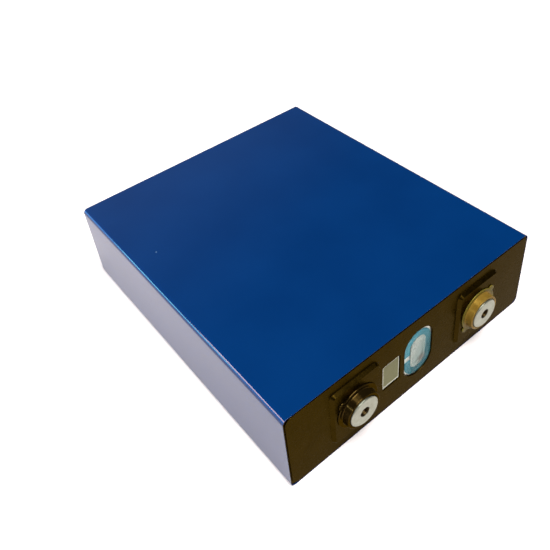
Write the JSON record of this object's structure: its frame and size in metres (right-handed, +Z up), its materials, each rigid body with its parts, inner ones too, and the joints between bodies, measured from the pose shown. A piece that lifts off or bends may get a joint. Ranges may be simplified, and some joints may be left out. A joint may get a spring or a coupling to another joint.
{
  "type": "prismatic battery cell",
  "caption": "Flat lithium cell in an aluminium can wrapped in blue film, with round bolt-on terminals and a burst vent in a black lid cover.",
  "frame": {"origin": "middle of the cell's footprint, on the surface it lies on", "axes": "+Z up through the thickness, +X across the width towards the positive terminal, -Y out of the lid and +Y out of the base"},
  "size_m": [0.1738, 0.2074, 0.0538],
  "materials": {
    "blue_film": "semi-gloss blue PET film",
    "base_patch": "semi-gloss blue PET sheet",
    "can_aluminium": "drawn, satin",
    "lid_aluminium": "stamped, satin",
    "vent_aluminium": "stamped, matt, scored",
    "terminal_aluminium": "turned, fine concentric marks",
    "black_cover": "satin moulded, very dark brown-black",
    "blank_label": "blank matt field with a pale margin",
    "teal_adhesive": "teal ring seen through clear film",
    "clear_film": "clear glossy film",
    "negative_collar": "glossy black moulding",
    "positive_collar": "glossy tan moulding",
    "seal_rubber": "matt",
    "copper": "satin copper",
    "aluminium_inner": "satin",
    "white_plastic": "satin",
    "bag_film": "thin milky film",
    "wound_core": "matt separator film",
    "core_tape": "matt tape"
  },
  "bodies": {
    "root": {"film_wrap": "blue_film", "base_patch": "base_patch", "can": "can_aluminium", "lid_plate": "lid_aluminium", "lid_cover": "black_cover", "code_label": "blank_label", "vent_disc": "vent_aluminium", "vent_film_adhesive": "teal_adhesive", "vent_film": "clear_film", "fill_plug": "seal_rubber", "fill_seal_cap": "lid_aluminium", "lower_insulator": "white_plastic", "negative_collar": "negative_collar", "positive_collar": "positive_collar", "negative_terminal": "terminal_aluminium", "positive_terminal": "terminal_aluminium", "negative_rivet_post": "copper", "positive_rivet_post": "aluminium_inner", "negative_seal_ring": "seal_rubber", "positive_seal_ring": "seal_rubber", "negative_collector": "copper", "positive_collector": "aluminium_inner", "negative_tab_lower": "copper", "negative_tab_upper": "copper", "positive_tab_lower": "aluminium_inner", "positive_tab_upper": "aluminium_inner", "wound_core_lower": "wound_core", "wound_core_upper": "wound_core", "core_tape_lower": "core_tape", "core_tape_upper": "core_tape", "insulation_bag": "bag_film", "support_plate": "white_plastic"}
  },
  "joints": []
}
